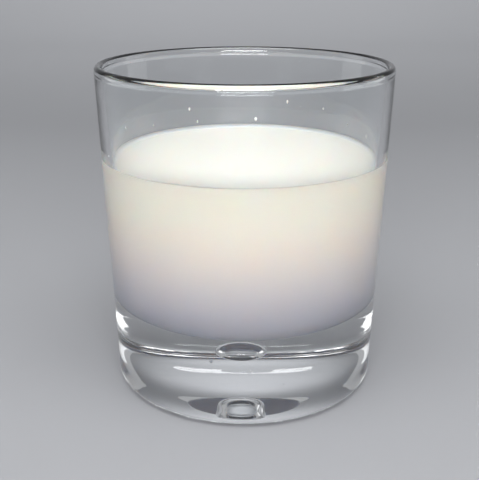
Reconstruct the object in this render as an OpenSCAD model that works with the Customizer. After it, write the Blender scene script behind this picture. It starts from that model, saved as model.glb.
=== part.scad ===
// Heavy-based glass tumbler with an air bubble sealed in its base, filled two thirds with milk.
// Millimetres, +Z up. The origin is the middle of the foot, on the table.

/* [Glass] */
// Diameter across the outside of the rim
rim_d = 82; // [74:0.5:110]
// Height of the glass
glass_h = 91.8; // [76:0.1:130]
// Diameter that the straight outer wall would have at the table
base_d = 75.4; // [70:0.2:100]
// Wall thickness just under the rim
rim_wall = 2; // [1.4:0.1:3]
// Wall thickness where the wall meets the round of the floor
low_wall = 3.3; // [2.4:0.1:5]
// Height of the fire-polished bead that thickens the rim on the inside
bead_h = 3; // [2:0.1:5]
// How far the bead stands in from the wall
bead_bulge = 0.25; // [0:0.05:0.6]
// Height of the rounded lip on top of the bead
lip_h = 1.6; // [1:0.1:1.9]

/* [Base] */
// Thickness of the solid glass under the milk
floor_t = 22.2; // [19:0.2:28]
// Radius of the round between the floor and the wall, inside
corner_r = 13; // [4:0.5:20]
// Radius of the round on the outer edge of the foot
foot_r = 3.2; // [0.5:0.1:4]
// Diameter of the hollow in the underside
recess_d = 60; // [50:0.5:66]
// Height of the hollow in the underside
recess_h = 1.6; // [0.4:0.1:3]
// Width of the slope from the standing ring up into the hollow
recess_slope = 24; // [6:0.5:28]

/* [Bubble] */
// Width of the sealed air bubble
bubble_w = 9.8; // [4:0.1:16]
// Height of the sealed air bubble
bubble_h = 5.4; // [3:0.1:8]
// Height of the middle of the bubble over the table
bubble_z = 11.9; // [8:0.1:13]
// How far the bubble sits from the middle of the base, along X
bubble_off = -0.6; // [-3:0.1:3]

/* [Milk] */
// Height of the milk's flat surface over the table
milk_level = 65.6; // [50:0.2:70]
// How far the milk climbs the glass at its edge
meniscus_h = 1; // [0.2:0.1:2]
// Width of the curved edge of the milk's surface
meniscus_w = 1.6; // [0.5:0.1:3]

/* [Hidden] */

rim_r = rim_d / 2;
base_r = base_d / 2;
turns = 96;         // sides of each circle that is turned round the axis
arc_steps = 16;     // straight steps in each rounded stretch of an outline

// Radius of the outer wall at a height, on one straight line from the table to the rim
function outer_r(z) = base_r + (rim_r - base_r) * z / glass_h;

// The wall thins steadily from the floor's round up to the rim
corner_top = floor_t + corner_r;
function wall_t(z) = low_wall + (rim_wall - low_wall) * (z - corner_top) / (glass_h - corner_top);
function inner_r(z) = outer_r(z) - wall_t(z);

// Lean of the two sides of the wall from upright, in degrees
outer_lean = atan((rim_r - base_r) / glass_h);
inner_lean = atan((inner_r(glass_h) - inner_r(corner_top)) / (glass_h - corner_top));

// Rounded lip on the top of the bead, half an ellipse
lip_r = (rim_wall + bead_bulge) / 2;
lip_z = glass_h - lip_h;
bead_z = glass_h - bead_h;

// Points [radius, height] along a circular or elliptical arc
function arc(centre, rx, rz, from, to) =
    [for (i = [0 : arc_steps])
        let (a = from + (to - from) * i / arc_steps)
        centre + [rx * cos(a), rz * sin(a)]];

// Smooth rise from 0 to 1 as t goes from 0 to 1
function ease(t) = (1 - cos(180 * t)) / 2;

// Underside, from the axis out to the standing ring
recess_r = recess_d / 2;
underside = concat(
    [[0, recess_h]],
    [for (i = [0 : arc_steps])
        let (t = i / arc_steps)
        [recess_r - recess_slope * (1 - t), recess_h * (1 - ease(t))]]);

// Outer edge of the foot, a round that touches both the table and the leaning wall
foot_centre = [outer_r(foot_r) - foot_r / cos(outer_lean), foot_r];
foot = arc(foot_centre, foot_r, foot_r, -90, -outer_lean);

// Lip, over the top from the outside to the inside
lip = arc([rim_r - lip_r, lip_z], lip_r, lip_h, 0, 180);

// Inside of the bead, from the lip down to the plain wall
bead = [for (i = [1 : arc_steps])
    let (z = lip_z - (lip_z - bead_z) * i / arc_steps)
    [inner_r(z) - bead_bulge * ease((z - bead_z) / (lip_z - bead_z)), z]];

// Round between the inner wall and the floor, from the wall down to the floor
corner_centre = [inner_r(corner_top) - corner_r / cos(inner_lean), corner_top];
corner = arc(corner_centre, corner_r, corner_r, -inner_lean, -90);

// Surface of the milk, from its edge on the glass in to the axis
milk_edge_z = milk_level + meniscus_h;
meniscus = arc([inner_r(milk_edge_z) - meniscus_w, milk_edge_z], meniscus_w, meniscus_h, 0, -90);

module turned(outline) {
    rotate_extrude($fn = turns) polygon(outline);
}

module bubble() {
    half = concat(
        [[0, -bubble_h / 2]],
        [for (i = [1 : 2 * arc_steps - 1])
            let (a = -90 + 90 * i / arc_steps)
            [bubble_w / 2 * cos(a), bubble_h / 2 * sin(a)]],
        [[0, bubble_h / 2]]);
    translate([bubble_off, 0, bubble_z]) turned(half);
}

module glass() {
    color([0.86, 0.91, 0.93, 0.4])
        difference() {
            turned(concat(underside, foot, lip, bead, corner, [[0, floor_t]]));
            bubble();
        }
}

module milk() {
    color([0.97, 0.95, 0.89])
        turned(concat([[0, floor_t]], [for (i = [arc_steps : -1 : 0]) corner[i]],
                      meniscus, [[0, milk_level]]));
}

glass();
milk();
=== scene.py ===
import math

import bmesh
import bpy
from mathutils import Matrix, Vector


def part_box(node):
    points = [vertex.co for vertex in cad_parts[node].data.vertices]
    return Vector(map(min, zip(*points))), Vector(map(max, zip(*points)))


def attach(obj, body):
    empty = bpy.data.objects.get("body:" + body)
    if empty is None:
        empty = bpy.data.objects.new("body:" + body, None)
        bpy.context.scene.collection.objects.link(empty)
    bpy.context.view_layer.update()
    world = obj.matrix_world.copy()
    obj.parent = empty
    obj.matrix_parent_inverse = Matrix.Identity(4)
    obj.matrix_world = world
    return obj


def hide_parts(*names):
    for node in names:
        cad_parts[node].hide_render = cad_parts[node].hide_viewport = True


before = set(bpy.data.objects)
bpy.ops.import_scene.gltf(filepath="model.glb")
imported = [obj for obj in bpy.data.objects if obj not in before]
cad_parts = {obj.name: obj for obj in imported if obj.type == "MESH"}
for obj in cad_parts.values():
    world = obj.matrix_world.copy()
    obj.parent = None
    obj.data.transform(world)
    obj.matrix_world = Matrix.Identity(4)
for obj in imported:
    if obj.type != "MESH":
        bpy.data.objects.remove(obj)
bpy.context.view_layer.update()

# Sizes, in metres. The overall ones come from the CAD part, and the rest repeat its source's.
MM = 0.001
glass_low, glass_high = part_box("glass")
milk_low, milk_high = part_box("milk")

rim_r = (glass_high.x - glass_low.x) / 2
glass_h = glass_high.z
foot_wall_r = 37.7 * MM       # radius that the straight outer wall would have at the table
rim_wall = 2 * MM             # wall thickness under the rim
low_wall = 3.3 * MM           # and at the top of the inner corner
lip_h = 1.6 * MM
bead_h = 3 * MM               # the bead thickens the rim on the inside
bead_bulge = 0.25 * MM
floor_top = milk_low.z
corner_r = 13 * MM
foot_r = 3.2 * MM
recess_r = 30 * MM            # hollow in the underside
recess_h = 1.6 * MM
recess_slope = 24 * MM
bubble_w = 9.8 * MM
bubble_h = 5.4 * MM
bubble_at = Vector((-0.6, 0, 11.9)) * MM
milk_edge_z = milk_high.z
meniscus_h = 1 * MM           # how far the milk climbs the wall, and the width of that curve
meniscus_w = 1.6 * MM
milk_level = milk_edge_z - meniscus_h
milk_bite = 0.05 * MM         # how far the milk reaches into the glass, so that no air gap shows
MILK_REACH = 3.5 * MM         # how far light travels in the milk
DROP_REACH = 0.25 * MM        # and in a small drop, which still looks white
EDGE_REACH = 0.08 * MM        # and in the thin upper edge against the wall
MILK_SPREAD = (1.0, 0.8, 0.62)  # share of that way for red, green and blue light
GLASS_TINT = (0.975, 0.99, 0.995, 1)
CREAM = (0.965, 0.88, 0.785, 1), (0.98, 0.905, 0.815, 1)  # milk high in the glass, in soft clouds
MILK_PAINTED_SHADE = (0.5, 0.5, 0.57, 1)  # painted shade: milk just over the floor of the glass, darker and cooler in place of light falling off low in the glass
FLOOR_GREY = (0.30, 0.305, 0.32, 1)
GLASS_IOR, MILK_IOR = 1.52, 1.35

TURNS = 192                   # faces round each turned shape
ARC_STEPS = 24                # straight steps in each rounded stretch of an outline
OUTER_WALL_STEPS = 24         # steps along straight stretches
INNER_WALL_STEPS = 16
MILK_SURFACE_STEPS = 12
FLOOR_STEPS = 6
BUBBLE_TURNS, SEED_TURNS = 64, 16
BUBBLE_STEPS = 32
SHARP_ANGLE = math.radians(60)  # edges that bend more than this are shaded as creases
ON_AXIS = 1e-7                # a point nearer to the axis than this is on it
TOUCH = 0.01 * MM             # slack when a face is told to be on a surface

# Angle round the axis in degrees, distance from the axis, height and width in millimetres
SEED_BUBBLES = [
    (-122.5, 13, 11.7, 0.8),
    (-48, 21, 15.5, 0.3),
    (70, 19, 8.0, 0.35),
    (165, 24, 12.5, 0.3),
    (20, 12, 16.5, 0.25),
]

SEED_FLATNESS = 0.8           # height of a seed bubble in its widths

# Angle round the axis in degrees, height over the milk and height of the drop in millimetres
SPLASHES = [
    (118, 6.6, 0.9),
    (114, 2.3, 0.7),
    (84, 2.6, 1.1),
    (96, 9.0, 0.5),
    (68, 8.2, 0.7),
    (48, 7.6, 0.6),
    (12, 3.4, 0.8),
    (163, 5.2, 0.6),
    (140, 3.1, 0.45),
    (31, 4.4, 0.5),
    (205, 4.0, 0.5),
]
DROP_SHAPE = (0.35, 0.85, 1.0)  # a drop's depth, width and height, in its heights
DROP_SINK = 0.02 * MM         # how far its middle is in the wall
DROP_SAG = 0.25               # how far its lowest point hangs down, in its heights


# ---------------------------------------------------------------- outlines

def outer_radius(z):
    """Radius of the straight outer wall at height z."""
    return foot_wall_r + (rim_r - foot_wall_r) * z / glass_h


corner_top = floor_top + corner_r


def inner_radius(z):
    """Radius of the inner wall at height z: the wall thins steadily towards the rim."""
    along = (z - corner_top) / (glass_h - corner_top)
    return outer_radius(z) - (low_wall + (rim_wall - low_wall) * along)


outer_lean = math.atan((rim_r - foot_wall_r) / glass_h)
inner_lean = math.atan((inner_radius(glass_h) - inner_radius(corner_top)) / (glass_h - corner_top))


def arc(centre_r, centre_z, width, height, start, end, steps=ARC_STEPS):
    """Points (radius, height) along an elliptical arc, with its angles in radians."""
    points = []
    for i in range(steps + 1):
        angle = start + (end - start) * i / steps
        points.append((centre_r + width * math.cos(angle), centre_z + height * math.sin(angle)))
    return points


def line(start, end, steps):
    """Points after start, up to and with end, on a straight line."""
    return [
        (start[0] + (end[0] - start[0]) * i / steps, start[1] + (end[1] - start[1]) * i / steps)
        for i in range(1, steps + 1)
    ]


def ease(t):
    """Smooth rise from 0 to 1 as t goes from 0 to 1."""
    return (1 - math.cos(math.pi * t)) / 2


def corner_arc(grow=0.0):
    """The round between the inner wall and the floor, from the wall down, moved out by grow."""
    centre_r = inner_radius(corner_top) - corner_r / math.cos(inner_lean)
    return arc(centre_r, corner_top, corner_r + grow, corner_r + grow, -inner_lean, -math.pi / 2)


def glass_outline():
    """From the middle of the underside, round the foot, up and over the rim, and down to the floor."""
    underside = [(0.0, recess_h)]
    for i in range(1, 2 * ARC_STEPS + 1):
        r = recess_r * i / (2 * ARC_STEPS)
        t = max(0.0, (r - recess_r + recess_slope) / recess_slope)
        underside.append((r, recess_h * (1 - ease(t))))
    foot_centre = outer_radius(foot_r) - foot_r / math.cos(outer_lean)
    foot = arc(foot_centre, foot_r, foot_r, foot_r, -math.pi / 2, -outer_lean)
    lip_r = (rim_wall + bead_bulge) / 2
    lip_z = glass_h - lip_h
    lip = arc(rim_r - lip_r, lip_z, lip_r, lip_h, 0, math.pi)
    outer_wall = line(foot[-1], lip[0], OUTER_WALL_STEPS)[:-1]
    bead_z = glass_h - bead_h
    bead = []
    for i in range(1, ARC_STEPS + 1):
        z = lip_z - (lip_z - bead_z) * i / ARC_STEPS
        bulge = bead_bulge * ease((z - bead_z) / (lip_z - bead_z))
        bead.append((inner_radius(z) - bulge, z))
    corner = corner_arc()
    inner_wall = line(bead[-1], corner[0], INNER_WALL_STEPS)[:-1]
    floor = line(corner[-1], (0.0, floor_top), FLOOR_STEPS)
    return underside + foot + outer_wall + lip + bead + inner_wall + corner + floor


def milk_outline():
    """From the middle of the milk's surface, over the meniscus, down the wall and in to the middle."""
    edge_r = inner_radius(milk_edge_z) + milk_bite
    middle = (0.0, milk_level)
    surface = [middle] + line(middle, (edge_r - meniscus_w, milk_level), MILK_SURFACE_STEPS)
    meniscus = arc(edge_r - meniscus_w, milk_edge_z, meniscus_w, meniscus_h, -math.pi / 2, 0)[1:]
    corner = corner_arc(milk_bite)
    wall = line(meniscus[-1], corner[0], INNER_WALL_STEPS)[:-1]
    bottom = line(corner[-1], (0.0, floor_top - milk_bite), FLOOR_STEPS)
    return surface + meniscus + wall + corner + bottom


# ---------------------------------------------------------------- meshes

def turn(bm, outline, centre=(0.0, 0.0), turns=TURNS):
    """Adds the surface that an outline sweeps round an upright axis through centre."""
    rings = []
    for r, z in outline:
        if r < ON_AXIS:
            rings.append([bm.verts.new((centre[0], centre[1], z))])
            continue
        angles = [2 * math.pi * i / turns for i in range(turns)]
        rings.append([
            bm.verts.new((centre[0] + r * math.cos(a), centre[1] + r * math.sin(a), z)) for a in angles
        ])
    faces = []
    for low, high in zip(rings, rings[1:]):
        for i in range(turns):
            j = (i + 1) % turns
            corners = [low[i % len(low)], low[j % len(low)], high[j % len(high)], high[i % len(high)]]
            faces.append(bm.faces.new(list(dict.fromkeys(corners))))
    return faces


def finish_piece(name, bm, materials):
    """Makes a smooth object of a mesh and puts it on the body."""
    for edge in bm.edges:
        edge.smooth = edge.calc_face_angle(0.0) < SHARP_ANGLE
    mesh = bpy.data.meshes.new(name)
    bm.to_mesh(mesh)
    bm.free()
    mesh.polygons.foreach_set("use_smooth", [True] * len(mesh.polygons))
    for material in materials:
        mesh.materials.append(material)
    piece = bpy.data.objects.new(name, mesh)
    bpy.context.collection.objects.link(piece)
    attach(piece, "root")
    return piece


def add_bubble(bm, centre, width, height, turns=BUBBLE_TURNS):
    """Adds a sealed bubble: a closed oval whose faces look into the air inside it."""
    outline = arc(0.0, centre[2], width / 2, height / 2, -math.pi / 2, math.pi / 2, BUBBLE_STEPS)
    outline[0] = (0.0, outline[0][1])
    outline[-1] = (0.0, outline[-1][1])
    return turn(bm, outline, (centre[0], centre[1]), turns)


def make_glass(material):
    """The tumbler, with the large bubble and a few tiny seed bubbles in its base."""
    bm = bmesh.new()
    turn(bm, glass_outline())
    bmesh.ops.recalc_face_normals(bm, faces=bm.faces)
    inside = add_bubble(bm, bubble_at, bubble_w, bubble_h)
    for angle, radius, height, size in SEED_BUBBLES:
        a = math.radians(angle)
        centre = (radius * MM * math.cos(a), radius * MM * math.sin(a), height * MM)
        inside += add_bubble(bm, centre, size * MM, SEED_FLATNESS * size * MM, SEED_TURNS)
    bmesh.ops.recalc_face_normals(bm, faces=inside)
    bmesh.ops.reverse_faces(bm, faces=inside)
    piece = finish_piece("tumbler", bm, [material])
    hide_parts("glass")
    return piece


def make_milk(surface_material, skin_material):
    """The milk, open to the air on top and pressed against the glass everywhere else."""
    bm = bmesh.new()
    turn(bm, milk_outline())
    bmesh.ops.recalc_face_normals(bm, faces=bm.faces)
    for face in bm.faces:
        middle = face.calc_center_median()
        reach = Vector((middle.x, middle.y)).length
        on_top = middle.z > milk_level - TOUCH
        in_wall = on_top and reach > inner_radius(middle.z) - TOUCH
        face.material_index = 1 if not on_top or in_wall else 0
    piece = finish_piece("milk_fill", bm, [surface_material, skin_material])
    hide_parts("milk")
    return piece


def make_splashes(material):
    """Small flattened drops of milk that cling to the inner wall above the milk."""
    bm = bmesh.new()
    for angle, height, size in SPLASHES:
        a = math.radians(angle)
        z = milk_level + height * MM
        r = inner_radius(z) + DROP_SINK
        outward = Vector((math.cos(a), math.sin(a), 0))
        place = Matrix.Translation(outward * r + Vector((0, 0, z)))
        facing = outward.to_track_quat("X", "Z").to_matrix().to_4x4()
        shape = Matrix.Diagonal((*DROP_SHAPE, 1.0))
        made = bmesh.ops.create_uvsphere(
            bm, u_segments=20, v_segments=12, radius=size * MM / 2, matrix=place @ facing @ shape
        )["verts"]
        for v in made:
            below = max(0.0, z - v.co.z) / (size * MM / 2)
            v.co.z -= DROP_SAG * size * MM * below ** 2
            out = Vector((v.co.x, v.co.y)).length
            limit = inner_radius(v.co.z) + milk_bite
            if out > limit:
                v.co.x *= limit / out
                v.co.y *= limit / out
    return finish_piece("splashes", bm, [material])


# ---------------------------------------------------------------- materials

def new_material(name):
    """An empty node material and a function that adds a node to it."""
    material = bpy.data.materials.new(name)
    material.use_nodes = True
    tree = material.node_tree
    shader = tree.nodes["Principled BSDF"]

    def add(kind, **settings):
        node = tree.nodes.new(kind)
        for key, value in settings.items():
            if hasattr(node, key):
                setattr(node, key, value)
            else:
                node.inputs[key.replace("_", " ")].default_value = value
        return node

    return material, tree, shader, add


def glass_material():
    """Clear soda-lime glass with a breath of cool tint, faint waves and finger haze."""
    material, tree, shader, add = new_material("clear_glass")
    shader.inputs["Base Color"].default_value = GLASS_TINT
    shader.inputs["IOR"].default_value = GLASS_IOR
    shader.inputs["Transmission Weight"].default_value = 1.0
    where = add("ShaderNodeTexCoord")
    waves = add("ShaderNodeTexNoise", Scale=38.0, Detail=1.0)
    tree.links.new(where.outputs["Object"], waves.inputs["Vector"])
    bump = add("ShaderNodeBump", Strength=0.35, Distance=0.00006)
    tree.links.new(waves.outputs["Fac"], bump.inputs["Height"])
    tree.links.new(bump.outputs["Normal"], shader.inputs["Normal"])
    smudges = add("ShaderNodeTexNoise", Scale=55.0, Detail=4.0, Roughness=0.6)
    tree.links.new(where.outputs["Object"], smudges.inputs["Vector"])
    haze = map_range(tree, add, smudges.outputs["Fac"], 0.55, 0.8, 0.0, 0.04)
    tree.links.new(haze, shader.inputs["Roughness"])
    return material


def map_range(tree, add, source, start, end, low, high):
    """A node that takes source from start..end to low..high, smoothly, and stops at the ends."""
    node = add("ShaderNodeMapRange", interpolation_type="SMOOTHSTEP")
    node.inputs["From Min"].default_value = start
    node.inputs["From Max"].default_value = end
    node.inputs["To Min"].default_value = low
    node.inputs["To Max"].default_value = high
    tree.links.new(source, node.inputs["Value"])
    return node.outputs["Result"]


def colour_mix(tree, add, factor, first, second):
    """A node that goes from one colour to another. A colour is four numbers or a node's output."""
    node = add("ShaderNodeMix", data_type="RGBA")
    tree.links.new(factor, node.inputs["Factor"])
    for socket, colour in ((node.inputs[6], first), (node.inputs[7], second)):
        if isinstance(colour, tuple):
            socket.default_value = colour
        else:
            tree.links.new(colour, socket)
    return node.outputs[2]


def milk_colour_with_painted_shade(tree, add):
    """Warm cream with soft clouds, with painted shade that makes it cooler and dimmer low in the
    glass.

    Gives the outputs for a point's place, its height and its colour.
    """
    where = add("ShaderNodeTexCoord")
    cloud = add("ShaderNodeTexNoise", Scale=22.0, Detail=3.0)
    tree.links.new(where.outputs["Object"], cloud.inputs["Vector"])
    cream = colour_mix(tree, add, cloud.outputs["Fac"], *CREAM)
    parts = add("ShaderNodeSeparateXYZ")
    tree.links.new(where.outputs["Object"], parts.inputs["Vector"])
    # Painted shade: from 6 mm under the milk's surface down to the floor of the glass, the cream fades
    # to a darker, cooler grey, in place of light falling off low in the glass.
    height = map_range(tree, add, parts.outputs["Z"], floor_top, milk_level - 6 * MM, 0.0, 1.0)
    colour = colour_mix(tree, add, height, MILK_PAINTED_SHADE, cream)
    return where.outputs["Object"], parts.outputs["Z"], colour


def milk_body(shader, tree, colour, reach):
    """Light scatters inside milk over about the given reach, red the furthest."""
    tree.links.new(colour, shader.inputs["Base Color"])
    shader.inputs["IOR"].default_value = MILK_IOR
    shader.inputs["Subsurface Weight"].default_value = 1.0
    shader.inputs["Subsurface Radius"].default_value = MILK_SPREAD
    shader.inputs["Subsurface Scale"].default_value = reach


def milk_material(name, reach):
    """The open surface of milk: a glossy skin with slow, shallow ripples."""
    material, tree, shader, add = new_material(name)
    place, _, colour = milk_colour_with_painted_shade(tree, add)
    milk_body(shader, tree, colour, reach)
    ripples = add("ShaderNodeTexNoise", Scale=16.0, Detail=1.0)
    tree.links.new(place, ripples.inputs["Vector"])
    bump = add("ShaderNodeBump", Strength=0.5, Distance=0.0002)
    tree.links.new(ripples.outputs["Fac"], bump.inputs["Height"])
    tree.links.new(bump.outputs["Normal"], shader.inputs["Normal"])
    gloss = map_range(tree, add, ripples.outputs["Fac"], 0.0, 1.0, 0.12, 0.24)
    tree.links.new(gloss, shader.inputs["Roughness"])
    return material


def milk_skin_material():
    """Milk against glass: light that meets it at a low angle inside the glass is all reflected."""
    material, tree, shader, add = new_material("milk_against_glass")
    _, height, colour = milk_colour_with_painted_shade(tree, add)
    milk_body(shader, tree, colour, MILK_REACH)
    edge_start, edge_end = milk_level - 3 * MM, milk_level + 0.2 * MM
    reach = map_range(tree, add, height, edge_start, edge_end, MILK_REACH, EDGE_REACH)
    tree.links.new(reach, shader.inputs["Subsurface Scale"])
    shader.inputs["Roughness"].default_value = 0.5
    shader.inputs["Specular IOR Level"].default_value = 0.0
    grazing = add("ShaderNodeFresnel", IOR=MILK_IOR / GLASS_IOR)
    mirror = add("ShaderNodeBsdfGlossy", Roughness=0.03)
    both = add("ShaderNodeMixShader")
    tree.links.new(grazing.outputs["Fac"], both.inputs["Fac"])
    tree.links.new(shader.outputs["BSDF"], both.inputs[1])
    tree.links.new(mirror.outputs["BSDF"], both.inputs[2])
    tree.links.new(both.outputs["Shader"], tree.nodes["Material Output"].inputs["Surface"])
    return material


# ---------------------------------------------------------------- the object

make_glass(glass_material())
make_milk(milk_material("milk_surface", MILK_REACH), milk_skin_material())
make_splashes(milk_material("milk_drops", DROP_REACH))


# ---------------------------------------------------------------- studio

def make_floor():
    """A plain pale table that rises into a backdrop far behind."""
    material, tree, shader, add = new_material("pale_table")
    shader.inputs["Base Color"].default_value = FLOOR_GREY
    shader.inputs["Roughness"].default_value = 0.7
    half_width, front, top = 1.6, -1.2, 1.6
    bend, rise = 0.9, 0.5     # where the table starts to rise, and the radius of that curve
    gap = 0.03 * MM           # a real foot touches at a few points, with air under the rest
    curve = arc(bend, rise, rise, rise, -math.pi / 2, 0)
    outline = [(front, -gap)] + [(y, z - gap) for y, z in curve] + [(bend + rise, top)]
    bm = bmesh.new()
    left = [bm.verts.new((-half_width, y, z)) for y, z in outline]
    right = [bm.verts.new((half_width, y, z)) for y, z in outline]
    for i in range(len(outline) - 1):
        bm.faces.new((left[i], right[i], right[i + 1], left[i + 1]))
    mesh = bpy.data.meshes.new("table")
    bm.to_mesh(mesh)
    bm.free()
    mesh.polygons.foreach_set("use_smooth", [True] * len(mesh.polygons))
    mesh.materials.append(material)
    table = bpy.data.objects.new("table", mesh)
    bpy.context.collection.objects.link(table)


def soft_light(name, at, size, watts, aim=(0, 0, 0.05)):
    """A flat rectangular lamp at a place in metres, turned towards aim."""
    lamp = bpy.data.lights.new(name, "AREA")
    lamp.shape = "RECTANGLE"
    lamp.size, lamp.size_y = size
    lamp.energy = watts
    light = bpy.data.objects.new(name, lamp)
    light.location = at
    light.rotation_euler = (Vector(aim) - Vector(at)).to_track_quat("-Z", "Y").to_euler()
    bpy.context.collection.objects.link(light)


def make_lights():
    """Soft lamps above, low in front, at each side and on the backdrop, in a pale room.

    The low front lamp makes the bright line in the base and the glint on the far rim.
    """
    soft_light("above", (0, -0.28, 0.8), (1.0, 0.5), 6.6)
    soft_light("front", (0, -0.66, 0.23), (0.5, 0.12), 5.1)
    soft_light("left", (-0.55, 0.2, 0.16), (0.28, 0.3), 0.25)
    soft_light("right", (0.55, 0.2, 0.16), (0.28, 0.3), 0.25)
    soft_light("backdrop", (0, 0.6, 0.9), (1.2, 0.3), 11, aim=(0, 1.4, 0.7))
    world = bpy.data.worlds.new("room")
    world.use_nodes = True
    background = world.node_tree.nodes["Background"]
    background.inputs["Color"].default_value = (0.97, 0.98, 1.0, 1)
    background.inputs["Strength"].default_value = 0.4
    bpy.context.scene.world = world


def make_camera():
    """A long lens in front of the glass, a little above its rim, looking slightly down."""
    camera = bpy.data.cameras.new("camera")
    camera.sensor_width = 36
    camera.sensor_fit = "HORIZONTAL"
    camera.lens = 63.1
    camera.clip_start = 0.01
    look_down = math.radians(19.11)
    eye = bpy.data.objects.new("camera", camera)
    eye.location = (-0.034 * rim_r, -5.692 * rim_r, glass_h + 0.714 * rim_r)
    eye.rotation_euler = (math.pi / 2 - look_down, 0, 0)
    bpy.context.collection.objects.link(eye)
    bpy.context.scene.camera = eye


make_floor()
make_lights()
make_camera()
bpy.context.scene.view_settings.view_transform = "Standard"
